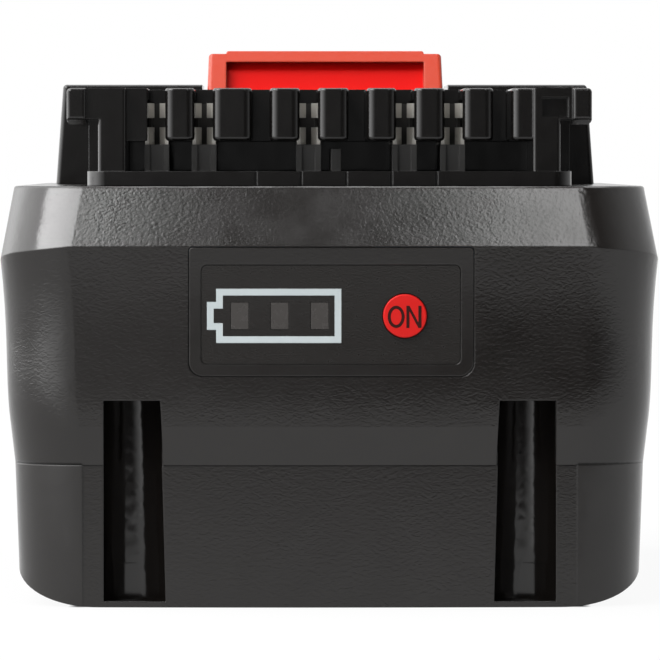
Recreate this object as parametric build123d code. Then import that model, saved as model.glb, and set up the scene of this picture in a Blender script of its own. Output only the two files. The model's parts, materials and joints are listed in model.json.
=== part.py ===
from build123d import *
import math
import os

os.makedirs("parts", exist_ok=True)

# A slide-on battery pack for a cordless tool, in millimetres. The origin is under the middle of the
# pack, on the surface it stands on. The terminals and the charge gauge face -Y, the release latch is
# near +Y, and the tool slides on along Y. The cells set the size of the casing round them.

# General values
overrun = 4.0
seam_gap = 0.1
static_gap = 0.05
running_gap = 0.08
thread_gap = 0.02
root_depth = 1.0

# Cells
cell_radius = 9.2
cell_length = 65.0
cell_gap = 0.8
column_count = 5
row_count = 2
cell_shoulder = 1.0
cell_groove_depth = 0.7
cell_groove_width = 1.6
cell_groove_from_end = 3.4
cell_button_radius = 3.6
cell_button_height = 1.2
cell_pitch = 2 * cell_radius + cell_gap
last_column = cell_pitch * (column_count - 1) / 2
first_column = -last_column
cell_end = cell_length / 2

# Walls of the casing
wall = 2.2
roof = 2.0
floor = 2.5
bottom_corner_run = 9.5
bottom_corner_rise = 4.4
bottom_corner_relief = 0.03

# Bus bars and end insulators
strip_thickness = 0.3
strip_width = 9.0
tab_width = 6.0
tab_overlap = 3.0
tab_from_board_end = 1.0
insulator_thickness = 0.3
insulator_margin = 1.2
insulator_wall_gap = 0.45

# Cell holders, whose feet clear the round of the casing's bottom corners
holder_depth = 13.0
holder_wall = 0.7
holder_top_wall = 1.0
holder_foot_share = 0.579
holder_end_gap = 0.4
holder_corner = 3.0
pad_width = 4.4
pad_end_gap = 9.0
holder_bottom = floor + holder_foot_share * (bottom_corner_rise - floor)
holder_half_length = last_column + cell_radius + holder_wall
lower_row = holder_bottom + holder_wall + cell_radius
upper_row = lower_row + (row_count - 1) * cell_pitch
holder_top = upper_row + cell_radius + holder_top_wall

# Screws that hold the rail block
rail_screw_radius = 1.4
rail_screw_head_radius = 2.5
rail_screw_head_height = 1.5
rail_screw_head_gap = 0.2
rail_screw_length = 8.0
rail_boss_radius = 3.0

# Screw channels in the front and rear faces
channel_width = 6.5
channel_taper = 0.6
channel_depth = 8.0
channel_draft = 0.35
channel_rise = 7.4
channel_floor = 0.7
channel_panel_gap = 3.0
tower_wall = 1.8
tower_roof = 2.5
tower_front_gap = 0.3
driver_hole_gap = 0.25

# Heights and outside of the casing
board_thickness = 1.6
board_bottom = holder_top
board_top = board_bottom + board_thickness
roof_underside = board_top + rail_screw_head_height + rail_screw_head_gap
casing_top = roof_underside + roof
parting_height = 16.3
waist_drop = 18.2
knee_drop = 11.7
ridge_drop = 8.6
crease_drop = 6.8
base_inset = 0.6
parting_inset_width = 1.65
parting_inset_length = 0.7
band_height = 4.3
band_inset_width = 1.16
band_inset_length = 0.37
waist_inset_width = 0.65
waist_inset_length = 0.35
knee_inset_width = 0.3
knee_inset_length = 0.25
shoulder_run_width = 1.5
shoulder_run_length = 3.0
casing_corner = 8.6
front_bow = 1.2
top_edge_round = 0.35
lip_height = 1.5
lip_thickness = 1.0
corner_zone_gap = 2.4
corner_gap_height = 0.25
corner_gap_depth = 0.5
corner_zone_stand = 0.15
side_room = strip_thickness + insulator_thickness + insulator_wall_gap + wall + base_inset
ridge_half_width = cell_end + side_room + parting_inset_width
ridge_width = 2 * ridge_half_width
end_room = holder_end_gap + tower_wall + channel_depth
casing_length = 2 * (holder_half_length + end_room)
casing_end = casing_length / 2
band_top = parting_height + band_height
waist_height = casing_top - waist_drop
knee_height = casing_top - knee_drop
ridge_height = casing_top - ridge_drop
crease_height = casing_top - crease_drop
parting_half_width = ridge_half_width - parting_inset_width
base_half_width = parting_half_width - base_inset
band_half_width = ridge_half_width - band_inset_width
waist_half_width = ridge_half_width - waist_inset_width
knee_half_width = ridge_half_width - knee_inset_width
top_half_width = ridge_half_width - shoulder_run_width
parting_half_length = casing_end - parting_inset_length
band_half_length = casing_end - band_inset_length
waist_half_length = casing_end - waist_inset_length
knee_half_length = casing_end - knee_inset_length
top_half_length = casing_end - shoulder_run_length
side_flare = (ridge_half_width - knee_half_width) / (ridge_height - knee_height)
front_flare = (casing_end - knee_half_length) / (crease_height - knee_height)
side_slope = (ridge_half_width - top_half_width) / (casing_top - ridge_height)
front_slope = (casing_end - top_half_length) / (casing_top - crease_height)

# Rating plate place under the floor, left bare
plate_length = 70.0
plate_width = 40.0
plate_depth = 0.3
plate_corner = 3.0

# Gauge panel in the front face
panel_offset = 0.15
panel_width = 32.5
panel_height = 14.7
panel_drop = 7.0
panel_corner = 1.6
panel_top_corner = 0.4
panel_depth = 3.2
panel_gap = 0.1
panel_flange = 1.2
panel_flange_gap = 0.1
label_margin = 1.4
label_right_margin = 1.5
label_top_margin = 2.0
label_corner = 0.7
label_sink = 0.08
label_thickness = 0.25
window_width = 2.0
window_height = 3.05
window_pitch = 4.57
window_from_label = 4.4
window_count = 3
gauge_rise = 5.5
guide_bar_thickness = 1.0
guide_bar_margin = 1.1
panel_left = panel_offset - panel_width / 2
panel_right = panel_offset + panel_width / 2
panel_top = casing_top - panel_drop
panel_bottom = panel_top - panel_height
panel_back = -casing_end + panel_depth
label_left = panel_left + label_margin
label_right = panel_right - label_right_margin
label_bottom = panel_bottom + label_margin
label_top = panel_top - label_top_margin
window_first_x = label_left + window_from_label
gauge_height = label_bottom + gauge_rise

# Gauge button and gauge board
button_from_label = 6.34
button_radius = 2.5
button_rise = 0.25
button_edge_round = 0.15
button_flange = 0.7
button_flange_thickness = 0.8
button_travel = 0.3
plunger_radius = 1.0
plunger_depth = 0.8
switch_side = 4.5
switch_thickness = 1.5
gauge_board_gap = 3.3
gauge_board_thickness = 1.0
gauge_board_side_margin = 1.65
gauge_board_bottom_margin = 1.7
gauge_board_top_margin = 0.8
post_radius = 1.1
post_pin_radius = 0.6
post_inset = 1.5
lamp_width = 1.6
lamp_height = 2.0
lamp_thickness = 0.8
header_half_width = 5.2
header_thickness = 1.8
header_height = 3.9
header_pin_pitch = 2.0
header_pin_count = 5
header_pin_radius = 0.3
button_x = label_right - button_from_label
gauge_board_front = panel_back + gauge_board_gap
gauge_board_half_width = panel_width / 2 - gauge_board_side_margin
gauge_board_bottom = panel_bottom + gauge_board_bottom_margin
gauge_board_top = panel_top - gauge_board_top_margin
header_pin_y = gauge_board_front + gauge_board_thickness + header_thickness / 2
header_bottom = gauge_board_top - header_height

# Places of the screw channels, beside the gauge panel
channel_inner_top = panel_right + channel_panel_gap
channel_inner_bottom = channel_inner_top - channel_taper
channel_outer = channel_inner_top + channel_width
channel_centre = (channel_outer + channel_inner_top) / 2
channel_round = channel_width / 2
channel_top = parting_height + channel_rise
driver_hole_radius = channel_round - driver_hole_gap
screw_y = casing_end - channel_depth + channel_round
corner_zone_half_width = channel_outer + corner_zone_gap

# Casing screws
screw_radius = 1.5
screw_head_gap = 0.45
screw_bore_gap = 0.2
screw_head_height = 2.1
screw_recess_radius = 1.1
screw_recess_depth = 1.2
screw_length = 12.5
screw_hole_gap = 0.2
boss_radius = 3.1
boss_spare = 2.0
screw_head_radius = channel_round - screw_head_gap
screw_seat = channel_top + screw_head_height
tower_top = screw_seat + tower_roof

# Rail block on the roof
plinth_height = 1.7
plinth_margin = 8.6
plinth_corner = 2.0
plinth_stand = 2.1
plinth_seam_width = 0.3
plinth_seam_depth = 0.25
plinth_seam_pitch = 5.2
plinth_seam_share = -0.31
plinth_seam_count = 5
rail_from_front = 8.0
rail_height = 11.3
rail_width = 4.4
flange_reach = 2.4
flange_thickness = 4.2
flange_face_width = 2.2
flange_stand = 0.8
flange_round = 0.5
rail_front_round = 0.35
lead_in = 0.6
lead_in_length = 3.0
web_step_width = 1.2
web_step_length = 4.0
top_plate = 2.2
block_dent_margin = 1.1
block_dent_outer_margin = 0.5
block_dent_bottom_margin = 0.9
block_dent_depth = 1.0
plinth_top = casing_top + plinth_height
plinth_half_width = top_half_width - plinth_margin
rail_front = -casing_end + rail_from_front
rail_top = casing_top + rail_height
plinth_front = rail_front - plinth_stand
web_half_width = plinth_half_width
web_front_half_width = web_half_width - web_step_width
web_inner = web_half_width - rail_width
flange_half_width = web_half_width + flange_reach
flange_inner = flange_half_width - flange_face_width
flange_bottom = rail_top - flange_thickness

# Comb of terminal slots
comb_setback = 1.1
comb_length = 17.8
tooth_height = 6.1
first_tooth_setback = 1.5
slot_width = 2.1
slot_mouth = 3.0
slot_cavity_width = 3.3
slot_end_wall = 2.0
tooth_round = 0.9
tooth_top_round = 0.3
tooth_foot_round = 0.45
cross_wall = 1.8
slot_shares = (-0.852, -0.618, -0.337, -0.101, 0.139, 0.373, 0.6115, 0.85)
contact_names = {
    0: "terminal_positive",
    1: "terminal_identity",
    3: "terminal_thermistor",
    5: "terminal_data",
    6: "terminal_negative",
}
comb_front = rail_front + comb_setback
comb_back = comb_front + comb_length
comb_bottom = rail_top - tooth_height
slot_back = comb_back - slot_end_wall
slot_centres = [share * web_inner for share in slot_shares]

# Terminal holder and contacts
window_side_margin = 1.5
window_front_margin = 3.6
window_back_margin = 0.4
window_gap = 0.2
pedestal_width = 2.9
pedestal_front_margin = 0.6
pedestal_back_margin = 1.4
pedestal_drop = 0.4
pedestal_groove_width = 1.5
pedestal_groove_depth = 0.35
key_share = 0.034
key_width = 1.2
key_drop = 0.5
contact_thickness = 0.4
contact_half_width = 1.1
contact_pinch_width = 0.6
contact_flare_width = 1.9
contact_front_margin = 0.7
contact_back_margin = 1.2
contact_pinch_length = 1.3
contact_body_length = 2.6
contact_drop = 1.7
contact_pin_width = 1.0
finger_gap_rise = 2.0
finger_gap_height = 1.1
window_half_width = web_inner - window_side_margin
window_front = comb_front + window_front_margin
window_back = slot_back + window_back_margin
pedestal_front = window_front + pedestal_front_margin
pedestal_back = window_back - pedestal_back_margin
pedestal_top = comb_bottom - pedestal_drop
key_top = pedestal_top - key_drop
contact_front = pedestal_front + contact_front_margin
contact_back = pedestal_back - contact_back_margin
contact_top = rail_top - contact_drop
contact_pin_y = contact_back - contact_body_length / 2
finger_gap_bottom = pedestal_top + finger_gap_rise

# Hump behind the rails
hump_length = 42.0
hump_height = 12.5
hump_margin = 2.55
hump_draft = 0.9
hump_flat_length = 20.5
hump_foot_inset = 3.9
hump_foot_height = 2.4
hump_wall = 2.2
hump_round = 0.5
hump_front = casing_end - hump_length
hump_top = casing_top + hump_height
hump_base_half_width = top_half_width - hump_margin
hump_top_half_width = hump_base_half_width - hump_draft
hump_flat_back = hump_front + hump_flat_length
hump_foot_back = casing_end - hump_foot_inset
hump_foot_top = casing_top + hump_foot_height

# Release latch
latch_width = 30.4
latch_draft = 0.5
latch_side_gap = 0.3
latch_stand = 4.3
latch_rib = 2.2
latch_rib_drop = 0.35
latch_step_round = 0.3
latch_band = 1.4
latch_lift = 2.0
latch_ramp_height = 5.4
latch_ramp_length = 3.0
latch_crest_length = 5.9
latch_slope_length = 20.2
latch_slope_end_height = 5.8
latch_pad_front_height = 4.4
latch_pad_back_height = 2.4
latch_skirt_height = 7.0
latch_skirt = 2.8
latch_recess_depth = 1.6
latch_round = 0.5
latch_travel = 4.5
latch_floor_gap = 0.2
lug_width = 1.6
lug_height = 1.6
lug_setback = 4.5
lug_length = 8.0
lug_gap = 0.3
grip_setback = 4.5
grip_rib_count = 5
grip_rib_pitch = 2.7
grip_rib_width = 1.1
grip_rib_height = 0.6
grip_rib_margin = 3.95
latch_half_width = latch_width / 2
latch_front = hump_front + latch_side_gap
latch_back = casing_end
latch_top = hump_top + latch_stand
latch_bottom = casing_top + latch_lift
latch_slope_back = latch_front + latch_slope_length
latch_skirt_bottom = latch_bottom - latch_skirt_height
lug_front = latch_front + lug_setback
lug_back = lug_front + lug_length
grip_rib_first = latch_slope_back + grip_setback

# Latch pocket
pocket_wall = 2.0
pocket_floor = 1.0
pocket_side = 1.6
skirt_gap = 1.6
rear_wall = 1.6
recess_gap = 0.4
pocket_front = hump_front
pocket_half_width = latch_half_width + latch_side_gap
pocket_floor_top = latch_bottom - latch_travel - latch_floor_gap
rear_wall_face = latch_back - latch_skirt - skirt_gap
rear_recess_bottom = latch_skirt_bottom - latch_travel - recess_gap

# Latch springs
spring_radius = 2.3
spring_wire = 0.55
spring_turns = 6
spring_inset = 6.45
spring_setback = 9.2
spring_bore_gap = 0.35
spring_bore_depth = 6.8
quarter_turns = 4
spring_x = latch_half_width - spring_inset
spring_y = latch_front + spring_setback
spring_top = latch_bottom + spring_bore_depth
spring_pitch = (spring_top - pocket_floor_top) / spring_turns

# Main circuit board
board_inset = 7.5
board_pocket_gap = 2.5
board_screw_radius = 1.25
board_screw_head_radius = 2.3
board_screw_head_height = 1.3
board_screw_length = 5.2
board_screw_inset = 2.4
power_switch_length = 6.0
power_switch_width = 5.0
power_switch_height = 1.1
power_switch_pitch = 8.0
power_switch_count = 4
controller_side = 7.0
controller_height = 1.0
shunt_length = 9.0
shunt_width = 3.6
shunt_height = 1.4
chip_length = 2.0
chip_width = 1.2
chip_height = 0.8
chip_pitch = 3.2
chip_count = 8
bead_radius = 1.4
bead_length = 5.0
bead_lead_radius = 0.25
board_half_width = cell_end - board_inset
board_front = gauge_board_front
board_back = pocket_front - board_pocket_gap
bead_y = -cell_pitch / 2
bead_lead_x = bead_length / 4

# Places of the rail block's screws
front_rail_screw_inset = 3.9
front_rail_screw_setback = 11.0
rear_rail_screw_gap = 0.55
rear_rail_screw_setback = 4.0
front_rail_screw_x = web_inner - front_rail_screw_inset
front_rail_screw_y = comb_back + front_rail_screw_setback
rear_rail_screw_x = pocket_half_width + lug_width + pocket_side + rail_boss_radius + rear_rail_screw_gap
rear_rail_screw_y = lug_front + rear_rail_screw_setback

# Repeated places
corners = [(side, end) for side in (-1, 1) for end in (-1, 1)]
rail_screw_places = [(side * front_rail_screw_x, front_rail_screw_y) for side in (-1, 1)]
rail_screw_places += [(side * rear_rail_screw_x, rear_rail_screw_y) for side in (-1, 1)]
board_screw_places = [
    (side * (board_half_width - board_screw_inset), first_column + (column + 1 / 2) * cell_pitch)
    for side in (-1, 1)
    for column in (0, 1)
]
post_places = [
    (x, z)
    for x in (-gauge_board_half_width + post_inset, gauge_board_half_width - post_inset)
    for z in (gauge_board_bottom + post_inset, gauge_board_top - post_inset)
]
header_pin_places = [
    ((index - (header_pin_count - 1) / 2) * header_pin_pitch, header_pin_y)
    for index in range(header_pin_count)
]
cell_places = [
    (first_column + column * cell_pitch, lower_row + row * cell_pitch)
    for column in range(column_count)
    for row in range(row_count)
]


def block(x0, x1, y0, y1, z0, z1):
    """A box between two corners."""
    middle = Pos((x0 + x1) / 2, (y0 + y1) / 2, (z0 + z1) / 2)
    return middle * Box(x1 - x0, y1 - y0, z1 - z0)


def rod(x, y, z0, z1, radius):
    """An upright cylinder."""
    return Pos(x, y, (z0 + z1) / 2) * Cylinder(radius, z1 - z0)


def rod_along_y(x, z, y0, y1, radius):
    """A cylinder along Y."""
    return Pos(x, (y0 + y1) / 2, z) * Rot(90, 0, 0) * Cylinder(radius, y1 - y0)


def front_block(x0, x1, z0, z1, y0, y1, corner):
    """A box with its four edges along Y rounded."""
    body = block(x0, x1, y0, y1, z0, z1)
    return fillet(body.edges().filter_by(Axis.Y), corner)


def along_x(points, half_width):
    """The outline of a side view, given as (y, z) points, drawn out to both sides."""
    face = make_face(Polyline(*points, close=True))
    return extrude(Plane.YZ * face, half_width, both=True)


def casing_outline(height, half_width, half_length, inset):
    """The pack in plan, with bowed ends and round corners."""
    w = half_width - inset
    end = half_length - inset
    side = end - front_bow
    edges = [
        ThreePointArc((-w, -side), (0, -end), (w, -side)),
        Line((w, -side), (w, side)),
        ThreePointArc((w, side), (0, end), (-w, side)),
        Line((-w, side), (-w, -side)),
    ]
    face = make_face(edges)
    return Pos(0, 0, height) * fillet(face.vertices(), casing_corner - inset)


def flared_form(inset):
    """The sides of the upper shell: a narrow band that leans out, then a sweep out to the ridge."""
    rise = casing_top - ridge_height
    ridge_half_length = knee_half_length + front_flare * (ridge_height - knee_height)
    foot = casing_outline(parting_height, parting_half_width, parting_half_length, inset)
    sections = [
        (band_top, band_half_width, band_half_length),
        (waist_height, waist_half_width, waist_half_length),
        (knee_height, knee_half_width, knee_half_length),
        (ridge_height, ridge_half_width, ridge_half_length),
        (casing_top, ridge_half_width + side_flare * rise, ridge_half_length + front_flare * rise),
    ]
    outlines = [casing_outline(height, w, half, inset) for height, w, half in sections]
    return loft([foot, outlines[0]], ruled=True) + loft(outlines)


def shoulder_form(inset):
    """The sloping shoulder above the ridge, carried down to the parting line."""
    drop = casing_top - parting_height
    low = casing_outline(
        parting_height, top_half_width + side_slope * drop, top_half_length + front_slope * drop, inset
    )
    high = casing_outline(casing_top, top_half_width, top_half_length, inset)
    return loft([low, high], ruled=True)


def tub_form(inset, bottom):
    """The lower shell's outside, or its inside when inset by the wall and raised to the floor."""
    low = casing_outline(0, base_half_width, parting_half_length, inset)
    high = casing_outline(parting_height, parting_half_width, parting_half_length, inset)
    body = loft([low, high], ruled=True)
    widening = (parting_half_width - base_half_width) / parting_height
    side = base_half_width + widening * bottom_corner_rise - inset + bottom_corner_relief
    run = bottom_corner_run - inset
    rise = bottom_corner_rise - bottom
    centre = side - run
    right = EllipticalCenterArc((centre, bottom_corner_rise), run, rise, -90, arc_size=90)
    left = EllipticalCenterArc((-centre, bottom_corner_rise), run, rise, 180, arc_size=90)
    wide = side + overrun
    high_edge = parting_height + overrun
    frame = Polyline(
        (side, bottom_corner_rise),
        (wide, bottom_corner_rise),
        (wide, high_edge),
        (-wide, high_edge),
        (-wide, bottom_corner_rise),
        (-side, bottom_corner_rise),
    )
    profile = make_face([left, Line((-centre, bottom), (centre, bottom)), right, frame])
    return body & extrude(Pos(0, casing_length, 0) * (Plane.XZ * profile), 2 * casing_length)


def channel_section(side, end, height, inner, depth, inset):
    """One section of a screw channel, open to the end face and half round at its back."""
    width = channel_outer - inner + 2 * inset
    x = side * (channel_outer + inner) / 2
    outside = end * (casing_end + overrun)
    back = end * (casing_end - depth - inset)
    straight = back + end * width / 2
    edges = [
        Line((x - width / 2, outside), (x + width / 2, outside)),
        Line((x + width / 2, outside), (x + width / 2, straight)),
        ThreePointArc((x + width / 2, straight), (x, back), (x - width / 2, straight)),
        Line((x - width / 2, straight), (x - width / 2, outside)),
    ]
    return Pos(0, 0, height) * make_face(edges)


def channel_form(side, end, bottom, top, inset):
    """The space of a screw channel between two heights, or its tower when inset by a wall."""
    low = channel_section(side, end, bottom, channel_inner_bottom, channel_depth - channel_draft, inset)
    high = channel_section(side, end, top, channel_inner_top, channel_depth, inset)
    return loft([low, high], ruled=True)


def lip_ring(outer_inset, inner_inset, bottom, top):
    """A ring that follows the walls at the parting line, between two insets."""
    outer = casing_outline(bottom, parting_half_width, parting_half_length, outer_inset)
    inner = casing_outline(bottom, parting_half_width, parting_half_length, inner_inset)
    return extrude(outer, top - bottom) - extrude(inner, top - bottom)


def lower_shell():
    """Floor, walls to the parting line and four screw towers."""
    outer = tub_form(0, 0)
    shell = outer - tub_form(wall, floor)
    for side, end in corners:
        tower = channel_form(side, end, channel_floor, tower_top, tower_wall)
        face = end * (parting_half_length - wall - front_bow - tower_front_gap)
        upper = block(-ridge_width, ridge_width, min(0, face), max(0, face), floor / 2, tower_top)
        shell += (tower & upper) + (tower & outer)
    shell += lip_ring(wall - lip_thickness, wall, parting_height - lip_height, parting_height + lip_height)
    for side, end in corners:
        shell -= channel_form(side, end, channel_floor, channel_top, 0)
        x, y = side * channel_centre, end * screw_y
        shell -= rod(x, y, -overrun, channel_floor + overrun, driver_hole_radius)
        shell -= rod(x, y, channel_top - overrun, screw_seat, screw_head_radius + screw_bore_gap)
        shell -= rod(x, y, screw_seat - overrun, tower_top + overrun, screw_radius + screw_hole_gap)
    half = corner_zone_half_width
    between = block(-half, half, -casing_length, casing_length, 0, parting_height)
    shell -= lip_ring(0, corner_zone_stand, 0, parting_height) & between
    plate = extrude(RectangleRounded(plate_width, plate_length, plate_corner), plate_depth)
    return shell - plate


def casing_screw(side, end):
    """A screw sunk in the ceiling of its channel, whose shank goes up through the tower into the boss."""
    x, y = side * channel_centre, end * screw_y
    head = rod(x, y, channel_top, screw_seat, screw_head_radius)
    shank = rod(x, y, channel_top, screw_seat + screw_length, screw_radius)
    return head + shank - rod(x, y, channel_top - overrun, channel_top + screw_recess_depth, screw_recess_radius)


def upper_form(inset, top_inset):
    """The upper shell's outside, or its inside when inset by the wall and the roof."""
    body = flared_form(inset) & shoulder_form(inset)
    room = block(-ridge_width, ridge_width, -casing_length, casing_length, 0, casing_top - top_inset)
    return body & room if top_inset else body


def upper_shell():
    """The textured upper casing with its roof, screw bosses and latch pocket."""
    outer = upper_form(0, 0)
    outer = fillet(outer.faces().sort_by(Axis.Z)[-1].edges(), top_edge_round)
    shell = outer - upper_form(wall, roof)
    rebate_top = parting_height + lip_height + seam_gap
    shell -= lip_ring(wall - lip_thickness - seam_gap, wall + seam_gap, parting_height, rebate_top)
    boss_top = screw_seat + screw_length + boss_spare
    for side, end in corners:
        x, y = side * channel_centre, end * screw_y
        shell += rod(x, y, tower_top, boss_top, boss_radius) & outer
        shell -= rod(x, y, tower_top, boss_top - boss_spare / 2, screw_radius + thread_gap)
        shell -= rod(x, y, channel_top - overrun, screw_seat, screw_head_radius + screw_bore_gap)
    shell += pocket_walls() & outer
    shell -= pocket_space()
    low, high = roof_underside - overrun, casing_top + overrun
    shell -= block(-window_half_width, window_half_width, window_front, window_back, low, high)
    for x, y in rail_screw_places:
        shell -= rod(x, y, low, high, rail_screw_radius + screw_hole_gap)
    for side, end in corners:
        shell -= channel_form(side, end, parting_height - overrun, channel_top, 0)
    shell -= panel_prism(-panel_gap)
    ring = lip_ring(0, corner_gap_depth, parting_height, parting_height + corner_gap_height)
    between = corner_zone_half_width
    return shell - (ring - block(-between, between, -casing_length, casing_length, 0, casing_top))


def pocket_walls():
    """The sunk floor of the latch pocket and the wall behind the thumb skirt."""
    half = pocket_half_width + lug_width + pocket_side
    bottom = pocket_floor_top - pocket_floor
    tub = block(-half, half, pocket_front - pocket_side, rear_wall_face, bottom, casing_top)
    rear = block(
        -pocket_half_width - pocket_side,
        pocket_half_width + pocket_side,
        rear_wall_face - rear_wall,
        casing_end,
        rear_recess_bottom - pocket_floor,
        casing_top,
    )
    return tub + rear


def pocket_space():
    """The room that the latch and its lugs move in."""
    half = pocket_half_width
    space = block(-half, half, pocket_front, casing_length, pocket_floor_top, hump_top + overrun)
    space += block(-half, half, rear_wall_face, casing_length, rear_recess_bottom, hump_top + overrun)
    lug_half = latch_half_width + lug_width + lug_gap
    lug_top = latch_bottom + lug_height
    space += block(-lug_half, lug_half, lug_front - lug_gap, lug_back + lug_gap, pocket_floor_top, lug_top)
    return space


def panel_prism(inset):
    """The gauge panel's outline drawn through the front wall, rounder at its lower corners."""
    front, back = -casing_end - overrun, -casing_end + overrun + panel_depth
    low, high = panel_bottom + inset, panel_top - inset
    body = block(panel_left + inset, panel_right - inset, front, back, low, high)
    body = fillet(body.edges().filter_by(Axis.Y).group_by(Axis.Z)[0], panel_corner - inset)
    upper = body.edges().filter_by(Axis.Y).filter_by(lambda e: e.center().Z > high - static_gap)
    return fillet(upper, panel_top_corner - inset)


def label_prism(inset):
    """The gauge label's outline drawn through the front wall."""
    return front_block(
        label_left + inset,
        label_right - inset,
        label_bottom + inset,
        label_top - inset,
        -casing_end - overrun,
        -casing_end + overrun,
        label_corner,
    )


def window_prism(index, inset, back):
    """One gauge window drawn through the label and the panel."""
    x = window_first_x + index * window_pitch
    w, h = window_width / 2 - inset, window_height / 2 - inset
    return block(x - w, x + w, -casing_end - overrun, back, gauge_height - h, gauge_height + h)


def button_hole():
    """The round hole for the button through the label and the panel."""
    front = -casing_end - overrun
    return rod_along_y(button_x, gauge_height, front, panel_back + overrun, button_radius + running_gap)


def gauge_panel():
    """The insert in the front face, with a rim behind the wall and posts for the gauge board."""
    front = flared_form(0)
    behind = block(-ridge_width, ridge_width, -casing_length, panel_back, 0, casing_top)
    panel = (panel_prism(0) & front) & behind
    rim = block(
        panel_left - panel_flange,
        panel_right + panel_flange,
        -casing_end,
        panel_back,
        panel_bottom - panel_flange,
        panel_top - panel_flange,
    )
    panel += rim & flared_form(wall + panel_flange_gap)
    panel -= label_prism(-static_gap) - flared_form(label_sink + label_thickness)
    for index in range(window_count):
        panel -= window_prism(index, -static_gap, panel_back + overrun)
    panel -= button_hole()
    for x, z in post_places:
        panel += rod_along_y(x, z, panel_back, gauge_board_front, post_radius)
        panel += rod_along_y(x, z, panel_back, gauge_board_front + gauge_board_thickness, post_pin_radius)
    return panel


def gauge_label():
    """The thin film over the gauge, with openings for the three windows and the button."""
    film = (label_prism(0) & flared_form(label_sink)) - flared_form(label_sink + label_thickness)
    for index in range(window_count):
        film -= window_prism(index, -static_gap, 0)
    return film - button_hole()


def light_guide():
    """Three clear windows joined by a bar behind the panel."""
    x0 = window_first_x - window_width / 2 - guide_bar_margin
    x1 = window_first_x + (window_count - 1) * window_pitch + window_width / 2 + guide_bar_margin
    half = window_height / 2 + guide_bar_margin
    back = panel_back + guide_bar_thickness
    guide = block(x0, x1, panel_back, back, gauge_height - half, gauge_height + half)
    for index in range(window_count):
        guide += window_prism(index, 0, back) & flared_form(label_sink)
    return guide


def gauge_button():
    """The round key beside the windows, kept in by its flange."""
    face = -front_at(gauge_height) - button_rise
    back = panel_back + button_flange_thickness
    key = rod_along_y(button_x, gauge_height, face, back, button_radius)
    key = fillet(key.edges().filter_by(GeomType.CIRCLE).sort_by(Axis.Y)[0], button_edge_round)
    return key + rod_along_y(button_x, gauge_height, panel_back, back, button_radius + button_flange)


def front_at(height):
    """How far the front face stands out at a height between the waist and the ridge."""
    share = (height - waist_height) / (knee_height - waist_height)
    return waist_half_length + (knee_half_length - waist_half_length) * share


def switch_plunger():
    """The small pin between the key and the switch."""
    back = gauge_board_front - switch_thickness + plunger_depth
    return rod_along_y(button_x, gauge_height, panel_back + button_flange_thickness, back, plunger_radius)


def gauge_switch():
    """The push switch on the gauge board."""
    front = gauge_board_front - switch_thickness
    middle = Pos(button_x, (front + gauge_board_front) / 2, gauge_height)
    body = middle * Box(switch_side, switch_thickness, switch_side)
    body = fillet(body.edges().filter_by(Axis.Y), plunger_radius / 2)
    hole_back = front + plunger_depth + button_travel + running_gap
    hole_radius = plunger_radius + running_gap
    return body - rod_along_y(button_x, gauge_height, front - overrun, hole_back, hole_radius)


def gauge_board():
    """The small board that carries the gauge's lamps and switch."""
    w = gauge_board_half_width
    front = gauge_board_front
    board = block(-w, w, front, front + gauge_board_thickness, gauge_board_bottom, gauge_board_top)
    for x, z in post_places:
        board -= rod_along_y(x, z, front - overrun, front + overrun, post_pin_radius + static_gap)
    return board


def gauge_lamps():
    """Three lamps on the gauge board, one behind each window."""
    y = gauge_board_front - lamp_thickness / 2
    lamp = Box(lamp_width, lamp_thickness, lamp_height)
    places = [window_first_x + index * window_pitch for index in range(window_count)]
    return group([Pos(x, y, gauge_height) * lamp for x in places])


def board_header():
    """The pin header that joins the gauge board to the main board above it."""
    y0 = header_pin_y - header_thickness / 2
    y1 = header_pin_y + header_thickness / 2
    body = block(-header_half_width, header_half_width, y0, y1, header_bottom, board_bottom)
    for x, y in header_pin_places:
        pin_top = board_top + header_pin_radius
        body += rod(x, y, board_bottom - header_thickness, pin_top, header_pin_radius)
    return body


def cell(y, z, facing):
    """A round cell along X, with a crimp groove and a button at its positive end."""
    rest = cell_length - cell_button_height
    half = cell_length / 2
    profile = [
        (0, -half),
        (cell_radius - cell_shoulder / 2, -half),
        (cell_radius, -half + cell_shoulder / 2),
        (cell_radius, rest - half - cell_groove_from_end - cell_groove_width),
        (cell_radius - cell_groove_depth, rest - half - cell_groove_from_end - cell_groove_width / 2),
        (cell_radius, rest - half - cell_groove_from_end),
        (cell_radius, rest - half - cell_shoulder),
        (cell_radius - cell_shoulder, rest - half),
        (cell_button_radius, rest - half),
        (cell_button_radius, half),
        (0, half),
    ]
    body = revolve(make_face(Plane.XZ * Polyline(*profile, close=True)), Axis.Z)
    return Pos(0, y, z) * Rot(0, 90 * facing, 0) * body


def cell_holder(side):
    """The moulded frame round one end of all the cells, with posts for the main board."""
    x0, x1 = sorted((side * cell_end, side * (cell_end - holder_depth)))
    frame = block(x0, x1, -holder_half_length, holder_half_length, holder_bottom, holder_top)
    frame = fillet(frame.edges().filter_by(Axis.X), holder_corner)
    for y, z in cell_places:
        frame -= Pos(0, y, z) * Rot(0, 90, 0) * Cylinder(cell_radius + static_gap, 2 * cell_length)
    thread_end = board_bottom - board_screw_length
    for x, y in board_screw_places:
        frame -= rod(x, y, thread_end, board_bottom + overrun, board_screw_radius + thread_gap)
    return frame


def foam_pad(side):
    """The strip of foam between a cell holder and the floor."""
    x0 = cell_end - holder_depth
    length = holder_half_length - pad_end_gap
    pad = block(x0, x0 + pad_width, -length, length, floor, holder_bottom)
    return mirror(pad, Plane.YZ) if side < 0 else pad


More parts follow.
